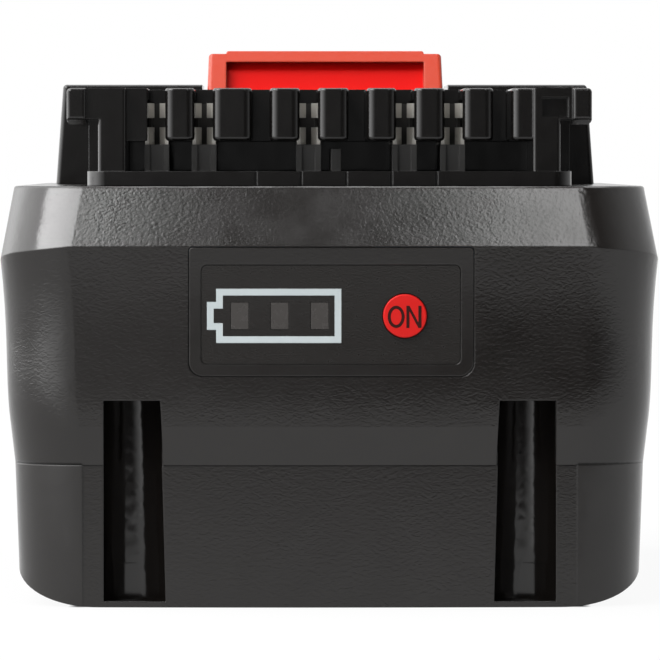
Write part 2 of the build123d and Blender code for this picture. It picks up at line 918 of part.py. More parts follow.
def bus_bar(side, first, last):
    """A nickel strip that joins the ends of one or two columns and turns in over the main board."""
    y0 = first_column + first * cell_pitch
    y1 = first_column + last * cell_pitch
    half = strip_width / 2
    tab = tab_width / 2
    landing = min(y0, board_back - tab - tab_from_board_end)
    face, back = cell_end, cell_end + strip_thickness
    top = board_top + strip_thickness
    strip = block(face, back, y0 - half, y1 + half, lower_row - half, upper_row + half)
    strip += block(face, back, y0 - tab, y0 + tab, upper_row, top)
    if landing < y0:
        strip += block(back - tab_width, back, landing - tab, y0 + tab, board_top, top)
    strip += block(board_half_width - tab_overlap, back, landing - tab, landing + tab, board_top, top)
    return mirror(strip, Plane.YZ) if side < 0 else strip


def end_insulator(side):
    """A sheet between the bus bars and the casing wall."""
    x0 = cell_end + strip_thickness
    half = holder_half_length - insulator_margin
    low, high = holder_bottom + insulator_margin, holder_top - insulator_margin
    sheet = block(x0, x0 + insulator_thickness, -half, half, low, high)
    return mirror(sheet, Plane.YZ) if side < 0 else sheet


def main_board():
    """The battery's control board, on top of the cell holders."""
    w = board_half_width
    board = block(-w, w, board_front, board_back, board_bottom, board_top)
    holes = [(x, y, board_screw_radius + screw_hole_gap) for x, y in board_screw_places]
    holes += [(slot_centres[slot], contact_pin_y, contact_pin_width) for slot in contact_names]
    holes += [(x, y, header_pin_radius + static_gap) for x, y in header_pin_places]
    holes += [(x, bead_y, bead_lead_radius + static_gap) for x in (-bead_lead_x, bead_lead_x)]
    for x, y, radius in holes:
        board -= rod(x, y, board_bottom - overrun, board_top + overrun, radius)
    return board


def board_screw(x, y):
    """A small screw through the main board into a cell holder."""
    head = rod(x, y, board_top, board_top + board_screw_head_height, board_screw_head_radius)
    slot = rod(x, y, board_top + board_screw_head_height / 2, board_top + overrun, board_screw_radius)
    return head + rod(x, y, board_bottom - board_screw_length, board_top, board_screw_radius) - slot


def power_switches():
    """The flat power transistors in a row behind the terminals."""
    switch = Box(power_switch_width, power_switch_length, power_switch_height)
    y, z = comb_back + power_switch_length / 2, board_top + power_switch_height / 2
    steps = [index - (power_switch_count - 1) / 2 for index in range(power_switch_count)]
    return group([Pos(step * power_switch_pitch, y, z) * switch for step in steps])


def board_parts():
    """The controller, the shunt and the small chips on the main board."""
    controller = Box(controller_side, controller_side, controller_height)
    shunt = Box(shunt_length, shunt_width, shunt_height)
    chip = Box(chip_width, chip_length, chip_height)
    shunt_y = comb_back + power_switch_length + chip_pitch + shunt_width / 2
    pieces = [Pos(0, 0, board_top + controller_height / 2) * controller]
    pieces.append(Pos(0, shunt_y, board_top + shunt_height / 2) * shunt)
    for index in range(chip_count):
        x = (index - (chip_count - 1) / 2) * chip_pitch
        pieces.append(Pos(x, controller_side, board_top + chip_height / 2) * chip)
    return group(pieces)


def thermistor():
    """The bead that lies between two cells, on its two leads from the main board."""
    z = upper_row + math.sqrt((cell_radius + bead_radius + static_gap) ** 2 - (cell_pitch / 2) ** 2)
    bead = Pos(0, bead_y, z) * Rot(0, 90, 0) * Cylinder(bead_radius, bead_length)
    for x in (-bead_lead_x, bead_lead_x):
        bead += rod(x, bead_y, z, board_top, bead_lead_radius)
    return bead


def terminal_holder():
    """The insulating block on the main board whose pedestals carry the contacts."""
    x1 = window_half_width - window_gap
    body = block(-x1, x1, window_front + window_gap, window_back - window_gap, board_top, plinth_top)
    for slot in contact_names:
        x = slot_centres[slot]
        half = pedestal_width / 2
        body += block(x - half, x + half, pedestal_front, pedestal_back, board_top, pedestal_top)
        half = pedestal_groove_width / 2
        groove_back = pedestal_front + pedestal_groove_depth
        body -= block(x - half, x + half, pedestal_front - overrun, groove_back, plinth_top, pedestal_top)
        half = contact_pin_width / 2 + static_gap
        pin_front, pin_back = contact_pin_y - half, contact_pin_y + half
        body -= block(x - half, x + half, pin_front, pin_back, board_top, pedestal_top)
    x = key_share * web_inner
    half = key_width / 2
    return body + block(x - half, x + half, pedestal_front, pedestal_back, board_top, key_top)


def contact(slot):
    """A fork contact: two arms in two fingers each, joined at the back, with a pin down to the board."""
    t = contact_thickness
    arms = []
    pinch_y = contact_front + contact_pinch_length
    pinch, flare = contact_pinch_width / 2, contact_flare_width / 2
    body_y = contact_back - contact_body_length
    for s in (-1, 1):
        outline = [
            (s * contact_half_width, contact_back),
            (s * contact_half_width, body_y),
            (s * (pinch + t), pinch_y),
            (s * (flare + t), contact_front),
            (s * flare, contact_front),
            (s * pinch, pinch_y),
            (s * (contact_half_width - t), body_y),
            (s * (contact_half_width - t), contact_back),
        ]
        face = make_face(Polyline(*outline, close=True))
        arms.append(extrude(Pos(0, 0, pedestal_top) * face, contact_top - pedestal_top))
    fork = arms[0] + arms[1]
    w = contact_half_width
    fork += block(-w, w, contact_back - t, contact_back, pedestal_top, contact_top)
    fork += block(-w, w, body_y, contact_back, pedestal_top, pedestal_top + t)
    half = contact_pin_width / 2
    fork += block(-half, half, contact_pin_y - half, contact_pin_y + half, board_bottom, pedestal_top + t)
    front = contact_front - overrun
    gap_top = finger_gap_bottom + finger_gap_height
    fork -= block(-slot_cavity_width, slot_cavity_width, front, body_y, finger_gap_bottom, gap_top)
    return Pos(slot_centres[slot], 0, 0) * fork


def rail_block():
    """The glossy block on the roof: plinth, rails, terminal comb and hump, in one moulding."""
    body = plinth()
    for side in (-1, 1):
        body += rail(side)
    body += block(-web_inner, web_inner, comb_back, hump_front, rail_top - top_plate, rail_top)
    body += block(-web_inner, web_inner, hump_front - pocket_wall, hump_front, casing_top, rail_top)
    body += comb()
    body += hump()
    body -= pocket_space()
    w = window_half_width
    body -= block(-w, w, window_front, hump_front - pocket_wall, casing_top - overrun, plinth_top)
    hole_top = roof_underside + rail_screw_length
    for x, y in rail_screw_places:
        ceiling = rail_top - top_plate if y < hump_front else hump_top - hump_wall
        body += rod(x, y, casing_top, ceiling, rail_boss_radius)
        body -= rod(x, y, casing_top - overrun, hole_top, rail_screw_radius + thread_gap)
    return body


def plinth():
    """The low base under the rails, with fine seams down its front face."""
    w = plinth_half_width
    body = block(-w, w, plinth_front, hump_front + overrun, casing_top, plinth_top)
    body = fillet(body.edges().filter_by(Axis.Z), plinth_corner)
    back = plinth_front + plinth_seam_depth
    low, high = casing_top - overrun, plinth_top + overrun
    for index in range(plinth_seam_count):
        x = plinth_seam_share * plinth_half_width + index * plinth_seam_pitch
        body -= block(x, x + plinth_seam_width, plinth_front - overrun, back, low, high)
    return body


def rail(side):
    """One rail: the web that stands on the plinth and the flange that the tool slides under."""
    web_front = rail_front + flange_stand
    step = rail_front + web_step_length
    root = plinth_top - root_depth
    web = block(web_inner, web_half_width, step, hump_front, root, rail_top)
    web += block(web_inner, web_front_half_width, web_front, step, root, rail_top)
    web += block(web_inner, flange_inner, web_front, step, flange_bottom + lead_in, rail_top)
    flange = block(flange_inner, flange_half_width, rail_front, hump_front, flange_bottom, rail_top)
    flange = fillet(flange.edges().filter_by(Axis.Y).sort_by(Axis.X)[-2:], flange_round)
    ramp = along_x(
        [
            (rail_front - overrun, flange_bottom - overrun),
            (rail_front - overrun, flange_bottom + lead_in),
            (rail_front, flange_bottom + lead_in),
            (rail_front + lead_in_length, flange_bottom),
            (rail_front + lead_in_length, flange_bottom - overrun),
        ],
        ridge_width,
    )
    flange -= ramp
    front = flange.edges().filter_by(lambda e: abs(e.center().Y - rail_front) < static_gap)
    flange = fillet(front, rail_front_round)
    upright = web.edges().filter_by(Axis.Z).filter_by(lambda e: abs(e.center().Y - web_front) < static_gap)
    web = fillet(upright.filter_by(lambda e: abs(e.center().X - flange_inner) > static_gap), rail_front_round)
    under = block(web_inner, flange_inner, step, hump_front, flange_bottom, rail_top) - ramp
    body = web + flange + under
    if side < 0:
        return mirror(body, Plane.YZ)
    back = web_front + block_dent_depth
    inner, outer = web_inner + block_dent_margin, flange_inner - block_dent_outer_margin
    low, high = flange_bottom + block_dent_bottom_margin, rail_top - block_dent_margin
    return body - block(inner, outer, rail_front, back, low, high)


def comb():
    """The wall of teeth between the rails, with a slot for each blade of the tool."""
    body = block(-web_inner, web_inner, comb_front, comb_back, comb_bottom, rail_top)
    back = comb_back - cross_wall
    body += block(-web_inner, web_inner, back, comb_back, plinth_top - root_depth, rail_top)
    low, high = comb_bottom - overrun, rail_top + overrun
    setback = comb_front + first_tooth_setback
    body -= block(-web_inner, slot_centres[0], comb_front - overrun, setback, low, high)
    cavity_front = comb_front + slot_mouth
    for slot, x in enumerate(slot_centres):
        half = slot_width / 2
        body -= block(x - half, x + half, comb_front - overrun, slot_back, low, high)
        if slot in contact_names:
            half = slot_cavity_width / 2
            ceiling = contact_top + contact_thickness
            body -= block(x - half, x + half, cavity_front, slot_back, low, ceiling)
    front = body.edges().filter_by(lambda e: abs(e.center().Y - comb_front) < static_gap)
    upright = front.filter_by(Axis.Z).filter_by(lambda e: abs(e.center().X) < web_inner - static_gap)
    body = fillet(upright, tooth_round)
    front = body.edges().filter_by(lambda e: e.center().Y < comb_front + tooth_round - static_gap)
    body = fillet(front.filter_by(lambda e: abs(e.center().Z - rail_top) < static_gap), tooth_top_round)
    foot = body.edges().filter_by(Axis.X).filter_by(lambda e: abs(e.center().Y - comb_front) < static_gap)
    foot = foot.filter_by(lambda e: abs(e.center().Z - comb_bottom) < static_gap)
    return fillet(foot, tooth_foot_round)


def hump():
    """The raised block behind the rails, sloping down to the rear, with the latch pocket in it."""
    ends = [
        (hump_front, casing_top),
        (hump_front, hump_top),
        (hump_flat_back, hump_top),
        (hump_foot_back, hump_foot_top),
        (hump_foot_back, casing_top),
    ]
    front_view = make_face(
        Polyline(
            (-hump_base_half_width, casing_top),
            (-hump_top_half_width, hump_top),
            (hump_top_half_width, hump_top),
            (hump_base_half_width, casing_top),
            close=True,
        )
    )
    sides = extrude(Pos(0, casing_length, 0) * (Plane.XZ * front_view), 2 * casing_length)
    outer = along_x(ends, ridge_width) & sides
    upright = outer.edges().filter_by(lambda e: e.center().Z > hump_foot_top)
    outer = fillet(upright, hump_round)
    t = hump_wall
    inner_ends = [
        (hump_front + t, casing_top - overrun),
        (hump_front + t, hump_top - t),
        (hump_flat_back - t / 2, hump_top - t),
        (hump_foot_back - t, hump_foot_top - t / 2),
        (hump_foot_back - t, casing_top - overrun),
    ]
    inner = along_x(inner_ends, hump_top_half_width - t)
    half = pocket_half_width + pocket_wall
    core = block(-half, half, 0, casing_length, 0, hump_top)
    return outer - (inner - core) - pocket_space()


def release_latch():
    """The red latch: hook, sloping back, ribbed thumb pad and skirt in one moulding."""
    pad_front, pad_back = latch_bottom + latch_pad_front_height, latch_bottom + latch_pad_back_height
    side_view = [
        (latch_front, latch_bottom),
        (latch_front, latch_top - latch_ramp_height),
        (latch_front + latch_ramp_length, latch_top),
        (latch_front + latch_crest_length, latch_top),
        (latch_slope_back, latch_bottom + latch_slope_end_height),
        (grip_rib_first - grip_rib_pitch / 2, pad_front),
        (latch_back - latch_round, pad_back),
        (latch_back, pad_back - latch_round),
        (latch_back, latch_skirt_bottom),
        (latch_back - latch_skirt, latch_skirt_bottom),
        (latch_back - latch_skirt, latch_bottom),
    ]
    half = latch_half_width
    top_half = latch_half_width - latch_draft
    front_view = [
        (-half, latch_skirt_bottom),
        (-half, latch_bottom),
        (-top_half, latch_top),
        (top_half, latch_top),
        (half, latch_bottom),
        (half, latch_skirt_bottom),
    ]
    sides = make_face(Polyline(*front_view, close=True))
    body = along_x(side_view, half) & extrude(Pos(0, casing_length, 0) * (Plane.XZ * sides), 2 * casing_length)
    inner = top_half - latch_rib
    rib_top = latch_top - latch_rib_drop
    for side in (-1, 1):
        x0, x1 = sorted((side * inner, side * (half + overrun)))
        body -= block(x0, x1, 0, latch_slope_back, rib_top, latch_top + overrun)
    edges = body.edges().filter_by(lambda e: abs(e.center().X) > top_half - static_gap)
    body = fillet(edges.filter_by(lambda e: e.center().Z > latch_bottom + overrun), latch_round)
    step = body.edges().filter_by(lambda e: e.center().Z > latch_top - static_gap)
    step = step.filter_by(lambda e: abs(abs(e.center().X) - inner) < static_gap)
    body = fillet(step, latch_step_round)
    low, high = latch_bottom + latch_band, latch_top - latch_band
    ramp_share = 1 - latch_band / latch_ramp_height
    recess = [
        (latch_front - overrun, low),
        (latch_front + latch_recess_depth, low),
        (latch_front + latch_recess_depth, latch_top - latch_ramp_height),
        (latch_front + latch_recess_depth + latch_ramp_length * ramp_share, high),
        (latch_front - overrun, high),
    ]
    body -= along_x(recess, inner)
    slope = (pad_back - pad_front) / (latch_back - grip_rib_first)
    grip_half = half - grip_rib_margin
    for index in range(grip_rib_count):
        y = grip_rib_first + index * grip_rib_pitch
        z = pad_front + slope * index * grip_rib_pitch
        rib = Pos(0, y, z) * Box(2 * grip_half, grip_rib_width, 2 * grip_rib_height)
        body += fillet(rib.edges().group_by(Axis.Z)[-1], grip_rib_height / 2)
    lug_half = latch_half_width + lug_width
    lug_top = latch_bottom + lug_height - static_gap
    body += block(-lug_half, lug_half, lug_front, lug_back, latch_bottom, lug_top)
    bore_radius = spring_radius + spring_wire + spring_bore_gap
    for side in (-1, 1):
        body -= rod(side * spring_x, spring_y, latch_bottom - overrun, spring_top, bore_radius)
    return body


def coil_point(angle):
    """A point on the spring's centre line and the direction there."""
    rise = spring_pitch / (2 * math.pi)
    x, y = spring_radius * math.cos(angle), spring_radius * math.sin(angle)
    return Vector(x, y, rise * angle), Vector(-y, x, rise).normalized()


def latch_spring(side):
    """A coil spring with ground ends, each quarter turn two arcs that meet smoothly."""
    path = []
    steps = spring_turns * quarter_turns
    for step in range(steps):
        start, out = coil_point(2 * math.pi * step / quarter_turns)
        end, into = coil_point(2 * math.pi * (step + 1) / quarter_turns)
        chord = end - start
        both = out + into
        a, b, c = 4 - both.dot(both), chord.dot(both), chord.dot(chord)
        reach = (math.sqrt(b * b + a * c) - b) / a
        knee_out, knee_in = start + out * reach, end - into * reach
        middle = (knee_out + knee_in) / 2
        path.append(TangentArc(start, middle, tangent=out))
        path.append(TangentArc(middle, end, tangent=(knee_in - knee_out).normalized()))
    start, out = coil_point(0)
    wire = sweep(Plane(origin=start, z_dir=out) * Circle(spring_wire / 2), path=Wire(path))
    height = spring_top - pocket_floor_top
    ground = rod(0, 0, 0, height, spring_radius + spring_wire)
    return Pos(side * spring_x, spring_y, pocket_floor_top) * (wire & ground)


def rail_screw(x, y):
    """A screw from inside the roof up into the rail block."""
    head = rod(x, y, roof_underside - rail_screw_head_height, roof_underside, rail_screw_head_radius)
    shank = rod(x, y, roof_underside, roof_underside + rail_screw_length, rail_screw_radius)
    recess_top = roof_underside - rail_screw_head_height / 2
    return head + shank - rod(x, y, roof_underside - overrun, recess_top, rail_screw_radius / 2)


def group(solids):
    """Separate solids that go into one node."""
    return Compound(children=[Solid(s.solid().wrapped) for s in solids])


parts = {
    "lower_shell": lower_shell(),
    "upper_shell": upper_shell(),
    "rail_block": rail_block(),
    "gauge_panel": gauge_panel(),
    "gauge_label": gauge_label(),
    "light_guide": light_guide(),
    "gauge_button": gauge_button(),
    "switch_plunger": switch_plunger(),
    "gauge_switch": gauge_switch(),
    "gauge_board": gauge_board(),
    "gauge_lamps": gauge_lamps(),
    "board_header": board_header(),
    "release_latch": release_latch(),
    "latch_spring_left": latch_spring(-1),
    "latch_spring_right": latch_spring(1),
    "terminal_holder": terminal_holder(),
    "main_board": main_board(),
    "power_switches": power_switches(),
    "board_parts": board_parts(),
    "thermistor": thermistor(),
    "cell_holder_left": cell_holder(-1),
    "cell_holder_right": cell_holder(1),
    "end_insulator_left": end_insulator(-1),
    "end_insulator_right": end_insulator(1),
    "foam_pad_left": foam_pad(-1),
    "foam_pad_right": foam_pad(1),
    "casing_screws": group([casing_screw(side, end) for side, end in corners]),
    "rail_screws": group([rail_screw(x, y) for x, y in rail_screw_places]),
    "board_screws": group([board_screw(x, y) for x, y in board_screw_places]),
}
for slot, name in contact_names.items():
    parts[name] = contact(slot)
for index, (y, z) in enumerate(cell_places):
    facing = 1 if index // row_count % 2 == 0 else -1
    parts[f"cell_{index + 1}"] = cell(y, z, facing)
for index, (first, last) in enumerate(((0, 0), (1, 2), (3, 4))):
    parts[f"bus_bar_left_{index + 1}"] = bus_bar(-1, first, last)
for index, (first, last) in enumerate(((0, 1), (2, 3), (4, 4))):
    parts[f"bus_bar_right_{index + 1}"] = bus_bar(1, first, last)

for name, shape in parts.items():
    export_step(shape, f"parts/{name}.step")

print("least gap between the turns of a latch spring, mm:", round(spring_pitch - spring_wire, 2))
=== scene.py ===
import json
from math import cos, pi, radians, sin, tan

import bpy
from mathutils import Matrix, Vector


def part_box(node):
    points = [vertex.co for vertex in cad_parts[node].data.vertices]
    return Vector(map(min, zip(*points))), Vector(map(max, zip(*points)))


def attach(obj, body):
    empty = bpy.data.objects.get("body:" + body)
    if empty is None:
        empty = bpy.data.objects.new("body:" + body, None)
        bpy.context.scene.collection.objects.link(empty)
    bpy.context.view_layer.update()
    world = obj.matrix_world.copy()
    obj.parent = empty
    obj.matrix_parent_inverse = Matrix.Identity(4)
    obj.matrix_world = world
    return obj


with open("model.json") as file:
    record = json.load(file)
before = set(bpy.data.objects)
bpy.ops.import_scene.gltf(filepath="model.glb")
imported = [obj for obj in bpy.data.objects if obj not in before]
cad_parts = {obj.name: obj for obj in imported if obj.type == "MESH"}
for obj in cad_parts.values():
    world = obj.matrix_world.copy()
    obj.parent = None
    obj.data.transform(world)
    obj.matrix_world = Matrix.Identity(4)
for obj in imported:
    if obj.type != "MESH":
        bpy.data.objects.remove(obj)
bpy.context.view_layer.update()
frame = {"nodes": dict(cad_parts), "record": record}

# Lengths are in metres
MM = 0.001
X, Y, Z = range(3)
LOW, HIGH = range(2)
WHITE = (1.0, 1.0, 1.0, 1.0)
NODES = frame["nodes"]


# Building blocks of the materials

MIX_SHARE, MIX_FROM, MIX_TO, MIX_RESULT = 0, 6, 7, 2
BEVEL_SAMPLES = 4
SOFT_STEP = 0.1 * MM
NOISE_LOW, NOISE_HIGH = 0.3, 0.7


class Shading:
    """Short ways to build the node tree of a material or of the room."""

    def __init__(self, owner, space="Object", empty=False):
        owner.use_nodes = True
        self.tree = owner.node_tree
        if empty:
            self.tree.nodes.clear()
        self.place = self.add("ShaderNodeTexCoord").outputs[space]
        self.axes = self.add("ShaderNodeSeparateXYZ", {0: self.place}).outputs

    def feed(self, socket, value):
        """Gives a socket what another node puts out, or a plain value."""
        if isinstance(value, bpy.types.NodeSocket):
            self.tree.links.new(value, socket)
        else:
            socket.default_value = value

    def add(self, kind, inputs=None, **settings):
        node = self.tree.nodes.new(kind)
        for key, value in settings.items():
            setattr(node, key, value)
        for key, value in (inputs or {}).items():
            self.feed(node.inputs[key], value)
        return node

    def math(self, operation, first, second=0.0):
        return self.add("ShaderNodeMath", {0: first, 1: second}, operation=operation).outputs[0]

    def product(self, first, *others):
        for other in others:
            first = self.math("MULTIPLY", first, other)
        return first

    def remap(self, value, low, high, to_low=0.0, to_high=1.0, **settings):
        inputs = {"Value": value, "From Min": low, "From Max": high, "To Min": to_low, "To Max": to_high}
        return self.add("ShaderNodeMapRange", inputs, **settings).outputs["Result"]

    def either(self, share, first, second):
        """One shader where a share is 0 and another where it is 1."""
        inputs = {0: share, 1: first.outputs[0], 2: second.outputs[0]}
        return self.add("ShaderNodeMixShader", inputs).outputs[0]


class Finish(Shading):
    """A material whose colour, gloss and relief change from place to place."""

    def __init__(self, name, metallic=0.0):
        self.material = bpy.data.materials.new(name)
        super().__init__(self.material)
        self.shader = self.tree.nodes["Principled BSDF"]
        self.set("Metallic", metallic)

    def set(self, name, value):
        self.feed(self.shader.inputs[name], value)

    def noise(self, scale, detail, distortion=0.0, stretch=None):
        """A cloudy pattern, its scale as repeats in a metre."""
        place = self.place
        if stretch:
            place = self.add("ShaderNodeMapping", {"Vector": place, **stretch}).outputs[0]
        inputs = {"Vector": place, "Scale": scale, "Detail": detail, "Distortion": distortion}
        return self.add("ShaderNodeTexNoise", inputs).outputs["Fac"]

    def wander(self, pattern, low, high, start=NOISE_LOW):
        """A value that wanders between two as a pattern does."""
        return self.remap(self.noise(**pattern), start, NOISE_HIGH, low, high)

    def between(self, share, low, high):
        """Goes from one value to another as a share goes from 0 to 1."""
        return self.remap(share, 0.0, 1.0, low, high)

    def above(self, value, edge):
        """0 below an edge and 1 above it, with a short soft step."""
        return self.remap(value, edge - SOFT_STEP, edge + SOFT_STEP)

    def below(self, value, edge):
        """1 below an edge and 0 above it, with a short soft step."""
        return self.remap(value, edge + SOFT_STEP, edge - SOFT_STEP)

    def tint(self, share, low, high):
        """A base colour that goes from one to another as a share goes from 0 to 1."""
        inputs = {MIX_SHARE: share, MIX_FROM: (*low, 1), MIX_TO: (*high, 1)}
        self.set("Base Color", self.add("ShaderNodeMix", inputs, data_type="RGBA").outputs[MIX_RESULT])

    def relief(self, layers, edge=0.0):
        """Bumps on top of one another, each a height and a depth in metres, over softened edges."""
        normal = None
        if edge:
            normal = self.add("ShaderNodeBevel", {"Radius": edge}, samples=BEVEL_SAMPLES).outputs[0]
        for height, depth in layers:
            inputs = {"Height": height, "Distance": depth, "Strength": 1.0}
            if normal is not None:
                inputs["Normal"] = normal
            normal = self.add("ShaderNodeBump", inputs).outputs[0]
        self.set("Normal", normal)


# The casing and the gauge panel

BLACK_LOW = (0.0050, 0.0041, 0.0036)
BLACK_HIGH = (0.0066, 0.0055, 0.0049)
CASING_EDGE = 0.22 * MM
CASING_CLOUDS = {"scale": 160, "detail": 4}
CASING_RUBBING = {"scale": 240, "detail": 2}

FOLDS = {"scale": 2300, "detail": 0.8, "distortion": 0.6}
FOLD_SLANT = {"Rotation": (0.3, 0.9, 0.4), "Scale": (1.0, 1.0, 1.5)}
FINE_FOLDS = {"scale": 4200, "detail": 0.5}
FINE_SHARE = 0.22

BAND_GRAIN = 0.25
LOWER_GRAIN = 0.7
CORNER_GRAIN = 0.15
PANEL_GRAIN = 0.35
CHANNEL_ROUGHNESS = 0.6

CHANNEL_PAST_SCREW = 0.45 * MM
CHANNEL_WIDTH = 7.1 * MM
CHANNEL_TOP = 23.7 * MM
CHANNEL_SETBACK = 0.9 * MM
CORNER_START = 2.4 * MM
BAND_HEIGHT = 4.3 * MM

channel_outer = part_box("casing_screws")[HIGH][X] + CHANNEL_PAST_SCREW
channel_inner = channel_outer - CHANNEL_WIDTH
channel_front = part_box("lower_shell")[HIGH][Y] - CHANNEL_SETBACK
corner_edge = channel_outer + CORNER_START
band_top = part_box("upper_shell")[LOW][Z] + BAND_HEIGHT


def wrinkles(finish):
    """Leather-like grain: short slanting folds, broken up by a finer layer."""
    folds = finish.noise(**FOLDS, stretch=FOLD_SLANT)
    return finish.math("ADD", folds, finish.math("MULTIPLY", finish.noise(**FINE_FOLDS), FINE_SHARE))


def channel_share(finish):
    """1 inside the polished screw channels and 0 on the casing's outside."""
    x = finish.math("ABSOLUTE", finish.axes[X])
    y = finish.math("ABSOLUTE", finish.axes[Y])
    sides = finish.above(x, channel_inner), finish.below(x, channel_outer)
    return finish.product(*sides, finish.below(y, channel_front), finish.below(finish.axes[Z], CHANNEL_TOP))


def upper_share(finish):
    """Full grain above the crease and hardly any on the leaning band below it."""
    return finish.between(finish.above(finish.axes[Z], band_top), BAND_GRAIN, 1.0)


def lower_share(finish):
    """Grain between the corner zones, which are nearly smooth."""
    x = finish.math("ABSOLUTE", finish.axes[X])
    return finish.between(finish.above(x, corner_edge), LOWER_GRAIN, CORNER_GRAIN)


def panel_share(finish):
    """The same faint grain all over the gauge panel."""
    return PANEL_GRAIN


def casing_finish(name, grain_share, depth, rough):
    """Black casing plastic whose grain and gloss change from place to place."""
    finish = Finish(name)
    channel = channel_share(finish)
    share = finish.math("MULTIPLY", grain_share(finish), finish.math("SUBTRACT", 1.0, channel))
    grain = finish.math("MULTIPLY", wrinkles(finish), share)
    finish.relief([(grain, depth)], edge=CASING_EDGE)
    polish = finish.between(channel, 1.0, CHANNEL_ROUGHNESS)
    finish.set("Roughness", finish.math("MULTIPLY", finish.wander(CASING_RUBBING, *rough), polish))
    finish.tint(finish.noise(**CASING_CLOUDS), BLACK_LOW, BLACK_HIGH)
    return finish.material


# The rail block

GLOSS_BLACK = (0.0042, 0.0038, 0.0036)
GLOSS_ROUGH = (0.06, 0.14)
GLOSS_EDGE = 0.2 * MM
SINK_WAVES = {"scale": 260, "detail": 1}
SINK_DEPTH = 0.04 * MM
GLOSS_SPECKS = {"scale": 4200, "detail": 2}
SPECK_DEPTH = 0.001 * MM
GLOSS_RUBBING = {"scale": 700, "detail": 4}
RUBBING_START = 0.35


def gloss_plastic():
    """Polished black plastic with slight sink waves and fine rubbing marks."""
    finish = Finish("rail_gloss")
    finish.set("Base Color", (*GLOSS_BLACK, 1))
    waves = finish.noise(**SINK_WAVES)
    specks = finish.noise(**GLOSS_SPECKS)
    finish.relief([(waves, SINK_DEPTH), (specks, SPECK_DEPTH)], edge=GLOSS_EDGE)
    finish.set("Roughness", finish.wander(GLOSS_RUBBING, *GLOSS_ROUGH, start=RUBBING_START))
    return finish.material


# Satin plastics, films and inks

SATIN_GRAIN = {"scale": 5200, "detail": 2}
SATIN_DEPTH = 0.005 * MM
FILM_DEPTH = 0.02 * MM
FOAM_DEPTH = 0.04 * MM
SATIN_RUBBING = {"scale": 1500, "detail": 3}
SATIN_CLOUDS = {"scale": 260, "detail": 3}
SATIN_EDGE = 0.2 * MM
THIN_EDGE = 0.1 * MM
INK_EDGE = 0.05 * MM


def satin_plastic(name, dark, light, rough, edge=SATIN_EDGE, depth=SATIN_DEPTH, shine=0.5):
    """Moulded plastic with a fine satin surface, its colour between a dark and a light one."""
    finish = Finish(name)
    finish.set("Specular IOR Level", shine)
    finish.relief([(finish.noise(**SATIN_GRAIN), depth)], edge=edge)
    finish.set("Roughness", finish.wander(SATIN_RUBBING, *rough))
    finish.tint(finish.noise(**SATIN_CLOUDS), dark, light)
    return finish.material


# Metals

DRAWN_MARKS = {"scale": 900, "detail": 3}
DRAWN_DEPTH = 0.003 * MM
METAL_CLOUDS = {"scale": 300, "detail": 3}
DULL_SHARE = 0.85

CONTACT_METALLIC = 0.55
CONTACT_DRAWN = (1, 1, 0.15)
CONTACT_ROUGH = (0.28, 0.40)
CONTACT_BRIGHT = (0.56, 0.54, 0.50)
# Painted shade: the contact metal turns this dark from its front inwards, deeper in the shaded slot.
CONTACT_SHADE = (0.05, 0.048, 0.045)
CONTACT_SHADE_FADE = (1.5 * MM, 3.5 * MM)


def drawn_metal(name, rough, drawn, metallic=1.0):
    """Metal with fine marks drawn out along one axis, without its colour."""
    finish = Finish(name, metallic)
    marks = finish.noise(**DRAWN_MARKS, stretch={"Scale": drawn})
    finish.relief([(marks, DRAWN_DEPTH)])
    finish.set("Roughness", finish.remap(marks, NOISE_LOW, NOISE_HIGH, *rough))
    return finish


def plain_metal(name, color, rough, drawn):
    """Drawn metal of one kind all through, a little duller in places."""
    finish = drawn_metal(name, rough, drawn)
    finish.tint(finish.noise(**METAL_CLOUDS), tuple(DULL_SHARE * value for value in color), color)
    return finish.material


def contact_metal():
    """Tinned contact metal, bright at the fingers and darker further into the slot as painted shade."""
    finish = drawn_metal("contact_tin", CONTACT_ROUGH, CONTACT_DRAWN, CONTACT_METALLIC)
    inwards = finish.math("SUBTRACT", finish.axes[Y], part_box("terminal_positive")[LOW][Y])
    # Painted shade: darker further into the slot, where the contacts lie in shade.
    finish.tint(finish.remap(inwards, *CONTACT_SHADE_FADE), CONTACT_BRIGHT, CONTACT_SHADE)
    return finish.material


# The release latch

# The latch's own red with a painted highlight: the orange stands in for the warm tint of highlights on the
# rim and ribs.
LATCH_RED_AND_HIGHLIGHT = (0.40, 0.030, 0.008)
# Painted shade: the deeper red laid into the ramp's recess.
RECESS_SHADE_RED = (0.56, 0.003, 0.003)
LATCH_ROUGH = (0.32, 0.40)
LATCH_SHINE = 0.4
RECESS_SHINE = 0.08
LATCH_WANDER = 0.12
LATCH_EDGE = 0.3 * MM
LATCH_RIM = 2.75 * MM
LATCH_BAND = 1.4 * MM
LATCH_RAMP = 4.0 * MM
LUG = 1.6 * MM


def recess_shade_share(finish):
    """Where the recess's painted shade goes: 1 inside the rim and under the top band of the latch's front
    ramp, and 0 outside them.
    """
    low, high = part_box("release_latch")
    inside_rim = finish.below(finish.math("ABSOLUTE", finish.axes[X]), high[X] - LUG - LATCH_RIM)
    under_band = finish.below(finish.axes[Z], high[Z] - LATCH_BAND)
    on_ramp = finish.below(finish.axes[Y], low[Y] + LATCH_RAMP)
    return finish.product(inside_rim, under_band, on_ramp)


